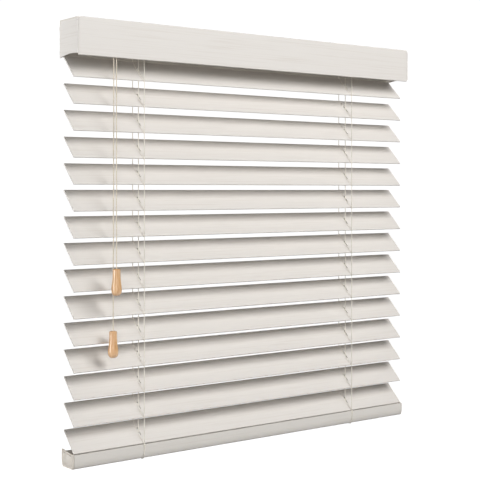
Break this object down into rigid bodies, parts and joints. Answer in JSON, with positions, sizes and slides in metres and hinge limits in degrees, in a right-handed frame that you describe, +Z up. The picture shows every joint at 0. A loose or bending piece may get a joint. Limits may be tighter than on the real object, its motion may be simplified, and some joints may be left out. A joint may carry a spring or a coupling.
{
  "type": "venetian blind",
  "caption": "Horizontal slatted window blind with a headrail, ladder strings, a cord tilter with tassels and a weighted bottom rail; the slats tilt and gather upwards.",
  "frame": {"origin": "middle of the ceiling plane on top of the two box brackets, above the slats' axis line", "axes": "+X to the right along the slats, +Y towards the window at the back, +Z up"},
  "size_m": [0.768, 0.0886, 0.751],
  "materials": {
    "painted_slat": "satin paint over faint wood grain",
    "painted_valance": "satin paint over faint wood grain",
    "painted_rail": "satin paint over faint wood grain",
    "painted_steel": "satin enamel",
    "rod_steel": "drawn and zinc plated",
    "white_plastic": "moulded, fine matte",
    "cream_plastic": "moulded, satin",
    "tilt_cord": "braided cord",
    "ladder_cord": "braided string",
    "honey_wood": "clear varnish over turned wood"
  },
  "bodies": {
    "headrail_unit": {"headrail_channel": "painted_steel", "valance_board": "painted_valance", "valance_return_left": "painted_valance", "valance_return_right": "painted_valance", "box_bracket_left": "painted_steel", "box_bracket_right": "painted_steel", "tilter_housing": "white_plastic", "drum_cradle_left": "white_plastic", "drum_cradle_right": "white_plastic", "lift_motor_case": "white_plastic", "lift_cord_left_01": "ladder_cord", "lift_cord_right": "ladder_cord"},
    "tilt_unit": {"tilt_rod": "rod_steel", "ladder_drum_left": "white_plastic", "ladder_drum_right": "white_plastic", "tilter_worm_wheel": "white_plastic"},
    "worm_unit": {"tilter_pulley_worm": "white_plastic"},
    "short_cord_unit": {"tassel_short": "honey_wood", "tilt_cord_short": "tilt_cord"},
    "long_cord_unit": {"tassel_long": "honey_wood", "tilt_cord_long": "tilt_cord"},
    "ladder_front_unit": {"ladder_left_front": "ladder_cord", "ladder_right_front": "ladder_cord"},
    "ladder_back_unit": {"ladder_left_back": "ladder_cord", "ladder_right_back": "ladder_cord"},
    "spool_unit": {"lift_spool": "white_plastic"},
    "rail_unit": {"bottom_rail": "painted_rail", "rail_cap_left": "cream_plastic", "rail_cap_right": "cream_plastic", "cord_plug_left": "cream_plastic", "cord_plug_right": "cream_plastic", "lift_cord_left_15": "ladder_cord"},
    "slat_01_unit": {"slat_01": "painted_slat"},
    "slat_02_unit": {"slat_02": "painted_slat"},
    "slat_03_unit": {"slat_03": "painted_slat"},
    "slat_04_unit": {"slat_04": "painted_slat"},
    "slat_05_unit": {"slat_05": "painted_slat"},
    "slat_06_unit": {"slat_06": "painted_slat"},
    "slat_07_unit": {"slat_07": "painted_slat"},
    "slat_08_unit": {"slat_08": "painted_slat"},
    "slat_09_unit": {"slat_09": "painted_slat"},
    "slat_10_unit": {"slat_10": "painted_slat"},
    "slat_11_unit": {"slat_11": "painted_slat"},
    "slat_12_unit": {"slat_12": "painted_slat"},
    "slat_13_unit": {"slat_13": "painted_slat"},
    "slat_14_unit": {"slat_14": "painted_slat"},
    "slat_15_unit": {"slat_15": "painted_slat"},
    "carrier_02": {"lift_cord_left_02": "ladder_cord"},
    "carrier_03": {"lift_cord_left_03": "ladder_cord"},
    "carrier_04": {"lift_cord_left_04": "ladder_cord"},
    "carrier_05": {"lift_cord_left_05": "ladder_cord"},
    "carrier_06": {"lift_cord_left_06": "ladder_cord"},
    "carrier_07": {"lift_cord_left_07": "ladder_cord"},
    "carrier_08": {"lift_cord_left_08": "ladder_cord"},
    "carrier_09": {"lift_cord_left_09": "ladder_cord"},
    "carrier_10": {"lift_cord_left_10": "ladder_cord"},
    "carrier_11": {"lift_cord_left_11": "ladder_cord"},
    "carrier_12": {"lift_cord_left_12": "ladder_cord"},
    "carrier_13": {"lift_cord_left_13": "ladder_cord"},
    "carrier_14": {"lift_cord_left_14": "ladder_cord"}
  },
  "joints": [
    {"name": "tilt", "type": "hinge", "parent": "headrail_unit", "child": "tilt_unit", "pos_m": [0, 0, -0.0235], "axis": [1, 0, 0], "range_deg": [-115, 25], "deforming": ["tilt_cord_short", "tilt_cord_long"]},
    {"name": "lift", "type": "slide", "parent": "headrail_unit", "child": "rail_unit", "axis": [0, 0, 1], "range_m": [0, 0.49], "deforming": ["ladder_left_front", "ladder_right_front", "ladder_left_back", "ladder_right_back", "lift_cord_left_01", "lift_cord_left_02", "lift_cord_left_03", "lift_cord_left_04", "lift_cord_left_05", "lift_cord_left_06", "lift_cord_left_07", "lift_cord_left_08", "lift_cord_left_09", "lift_cord_left_10", "lift_cord_left_11", "lift_cord_left_12", "lift_cord_left_13", "lift_cord_left_14", "lift_cord_left_15", "lift_cord_right"]},
    {"name": "tassel_short_pull", "type": "slide", "parent": "headrail_unit", "child": "short_cord_unit", "axis": [0.0303, 0.0512, 0.9982], "range_m": [-0.134, 0.0292]},
    {"name": "tassel_long_pull", "type": "slide", "parent": "headrail_unit", "child": "long_cord_unit", "axis": [0.0082, 0.0088, 0.9999], "range_m": [-0.0292, 0.134]},
    {"name": "tilter_worm_turn", "type": "hinge", "parent": "headrail_unit", "child": "worm_unit", "pos_m": [-0.3085, 0, -0.0355], "axis": [0, 1, 0], "range_deg": [-301, 1381]},
    {"name": "ladder_front_swing", "type": "hinge", "parent": "tilt_unit", "child": "ladder_front_unit", "pos_m": [0, -0.01662, -0.04012], "axis": [1, 0, 0], "range_deg": [-25.5, 115.5]},
    {"name": "ladder_back_swing", "type": "hinge", "parent": "tilt_unit", "child": "ladder_back_unit", "pos_m": [0, 0.01662, -0.00688], "axis": [1, 0, 0], "range_deg": [-25.5, 115.5]},
    {"name": "lift_spool_turn", "type": "hinge", "parent": "headrail_unit", "child": "spool_unit", "pos_m": [0, 0.016, -0.0289], "axis": [0, 1, 0], "range_deg": [-2341.6, 1]},
    {"name": "slat_02_lift", "type": "slide", "parent": "headrail_unit", "child": "carrier_02", "axis": [0, 0, 1], "range_m": [-0.0001, 0.0352]},
    {"name": "slat_03_lift", "type": "slide", "parent": "headrail_unit", "child": "carrier_03", "axis": [0, 0, 1], "range_m": [-0.0001, 0.0702]},
    {"name": "slat_04_lift", "type": "slide", "parent": "headrail_unit", "child": "carrier_04", "axis": [0, 0, 1], "range_m": [-0.0001, 0.1052]},
    {"name": "slat_05_lift", "type": "slide", "parent": "headrail_unit", "child": "carrier_05", "axis": [0, 0, 1], "range_m": [-0.0001, 0.1402]},
    {"name": "slat_06_lift", "type": "slide", "parent": "headrail_unit", "child": "carrier_06", "axis": [0, 0, 1], "range_m": [-0.0001, 0.1752]},
    {"name": "slat_07_lift", "type": "slide", "parent": "headrail_unit", "child": "carrier_07", "axis": [0, 0, 1], "range_m": [-0.0001, 0.2102]},
    {"name": "slat_08_lift", "type": "slide", "parent": "headrail_unit", "child": "carrier_08", "axis": [0, 0, 1], "range_m": [-0.0001, 0.2452]},
    {"name": "slat_09_lift", "type": "slide", "parent": "headrail_unit", "child": "carrier_09", "axis": [0, 0, 1], "range_m": [-0.0001, 0.2802]},
    {"name": "slat_10_lift", "type": "slide", "parent": "headrail_unit", "child": "carrier_10", "axis": [0, 0, 1], "range_m": [-0.0001, 0.3152]},
    {"name": "slat_11_lift", "type": "slide", "parent": "headrail_unit", "child": "carrier_11", "axis": [0, 0, 1], "range_m": [-0.0001, 0.3502]},
    {"name": "slat_12_lift", "type": "slide", "parent": "headrail_unit", "child": "carrier_12", "axis": [0, 0, 1], "range_m": [-0.0001, 0.3852]},
    {"name": "slat_13_lift", "type": "slide", "parent": "headrail_unit", "child": "carrier_13", "axis": [0, 0, 1], "range_m": [-0.0001, 0.4202]},
    {"name": "slat_14_lift", "type": "slide", "parent": "headrail_unit", "child": "carrier_14", "axis": [0, 0, 1], "range_m": [-0.0001, 0.4552]},
    {"name": "slat_01_tilt", "type": "hinge", "parent": "headrail_unit", "child": "slat_01_unit", "pos_m": [0, 0, -0.0805], "axis": [1, 0, 0], "range_deg": [-115.5, 25.5]},
    {"name": "slat_02_tilt", "type": "hinge", "parent": "carrier_02", "child": "slat_02_unit", "pos_m": [0, 0, -0.1253], "axis": [1, 0, 0], "range_deg": [-115.5, 25.5]},
    {"name": "slat_03_tilt", "type": "hinge", "parent": "carrier_03", "child": "slat_03_unit", "pos_m": [0, 0, -0.1701], "axis": [1, 0, 0], "range_deg": [-115.5, 25.5]},
    {"name": "slat_04_tilt", "type": "hinge", "parent": "carrier_04", "child": "slat_04_unit", "pos_m": [0, 0, -0.2149], "axis": [1, 0, 0], "range_deg": [-115.5, 25.5]},
    {"name": "slat_05_tilt", "type": "hinge", "parent": "carrier_05", "child": "slat_05_unit", "pos_m": [0, 0, -0.2597], "axis": [1, 0, 0], "range_deg": [-115.5, 25.5]},
    {"name": "slat_06_tilt", "type": "hinge", "parent": "carrier_06", "child": "slat_06_unit", "pos_m": [0, 0, -0.3045], "axis": [1, 0, 0], "range_deg": [-115.5, 25.5]},
    {"name": "slat_07_tilt", "type": "hinge", "parent": "carrier_07", "child": "slat_07_unit", "pos_m": [0, 0, -0.3493], "axis": [1, 0, 0], "range_deg": [-115.5, 25.5]},
    {"name": "slat_08_tilt", "type": "hinge", "parent": "carrier_08", "child": "slat_08_unit", "pos_m": [0, 0, -0.3941], "axis": [1, 0, 0], "range_deg": [-115.5, 25.5]},
    {"name": "slat_09_tilt", "type": "hinge", "parent": "carrier_09", "child": "slat_09_unit", "pos_m": [0, 0, -0.4389], "axis": [1, 0, 0], "range_deg": [-115.5, 25.5]},
    {"name": "slat_10_tilt", "type": "hinge", "parent": "carrier_10", "child": "slat_10_unit", "pos_m": [0, 0, -0.4837], "axis": [1, 0, 0], "range_deg": [-115.5, 25.5]},
    {"name": "slat_11_tilt", "type": "hinge", "parent": "carrier_11", "child": "slat_11_unit", "pos_m": [0, 0, -0.5285], "axis": [1, 0, 0], "range_deg": [-115.5, 25.5]},
    {"name": "slat_12_tilt", "type": "hinge", "parent": "carrier_12", "child": "slat_12_unit", "pos_m": [0, 0, -0.5733], "axis": [1, 0, 0], "range_deg": [-115.5, 25.5]},
    {"name": "slat_13_tilt", "type": "hinge", "parent": "carrier_13", "child": "slat_13_unit", "pos_m": [0, 0, -0.6181], "axis": [1, 0, 0], "range_deg": [-115.5, 25.5]},
    {"name": "slat_14_tilt", "type": "hinge", "parent": "carrier_14", "child": "slat_14_unit", "pos_m": [0, 0, -0.6629], "axis": [1, 0, 0], "range_deg": [-115.5, 25.5]},
    {"name": "slat_15_tilt", "type": "hinge", "parent": "rail_unit", "child": "slat_15_unit", "pos_m": [0, 0, -0.7077], "axis": [1, 0, 0], "range_deg": [-115.5, 25.5]}
  ],
  "couplings": [
    {"joint": "tassel_short_pull", "follows": "tilt", "m_per_rad": 0.0667},
    {"joint": "tassel_long_pull", "follows": "tilt", "m_per_rad": -0.0667},
    {"joint": "tilter_worm_turn", "follows": "tilt", "ratio": -12},
    {"joint": "ladder_front_swing", "follows": "tilt", "ratio": -1},
    {"joint": "ladder_back_swing", "follows": "tilt", "ratio": -1},
    {"joint": "lift_spool_turn", "follows": "lift", "rad_per_m": -83.333},
    {"joint": "slat_02_lift", "follows": "lift", "ratio": 0.071429},
    {"joint": "slat_03_lift", "follows": "lift", "ratio": 0.14286},
    {"joint": "slat_04_lift", "follows": "lift", "ratio": 0.21429},
    {"joint": "slat_05_lift", "follows": "lift", "ratio": 0.28571},
    {"joint": "slat_06_lift", "follows": "lift", "ratio": 0.35714},
    {"joint": "slat_07_lift", "follows": "lift", "ratio": 0.42857},
    {"joint": "slat_08_lift", "follows": "lift", "ratio": 0.5},
    {"joint": "slat_09_lift", "follows": "lift", "ratio": 0.57143},
    {"joint": "slat_10_lift", "follows": "lift", "ratio": 0.64286},
    {"joint": "slat_11_lift", "follows": "lift", "ratio": 0.71429},
    {"joint": "slat_12_lift", "follows": "lift", "ratio": 0.78571},
    {"joint": "slat_13_lift", "follows": "lift", "ratio": 0.85714},
    {"joint": "slat_14_lift", "follows": "lift", "ratio": 0.92857},
    {"joint": "slat_01_tilt", "follows": "tilt", "ratio": 1},
    {"joint": "slat_02_tilt", "follows": "tilt", "ratio": 1},
    {"joint": "slat_03_tilt", "follows": "tilt", "ratio": 1},
    {"joint": "slat_04_tilt", "follows": "tilt", "ratio": 1},
    {"joint": "slat_05_tilt", "follows": "tilt", "ratio": 1},
    {"joint": "slat_06_tilt", "follows": "tilt", "ratio": 1},
    {"joint": "slat_07_tilt", "follows": "tilt", "ratio": 1},
    {"joint": "slat_08_tilt", "follows": "tilt", "ratio": 1},
    {"joint": "slat_09_tilt", "follows": "tilt", "ratio": 1},
    {"joint": "slat_10_tilt", "follows": "tilt", "ratio": 1},
    {"joint": "slat_11_tilt", "follows": "tilt", "ratio": 1},
    {"joint": "slat_12_tilt", "follows": "tilt", "ratio": 1},
    {"joint": "slat_13_tilt", "follows": "tilt", "ratio": 1},
    {"joint": "slat_14_tilt", "follows": "tilt", "ratio": 1},
    {"joint": "slat_15_tilt", "follows": "tilt", "ratio": 1}
  ]
}
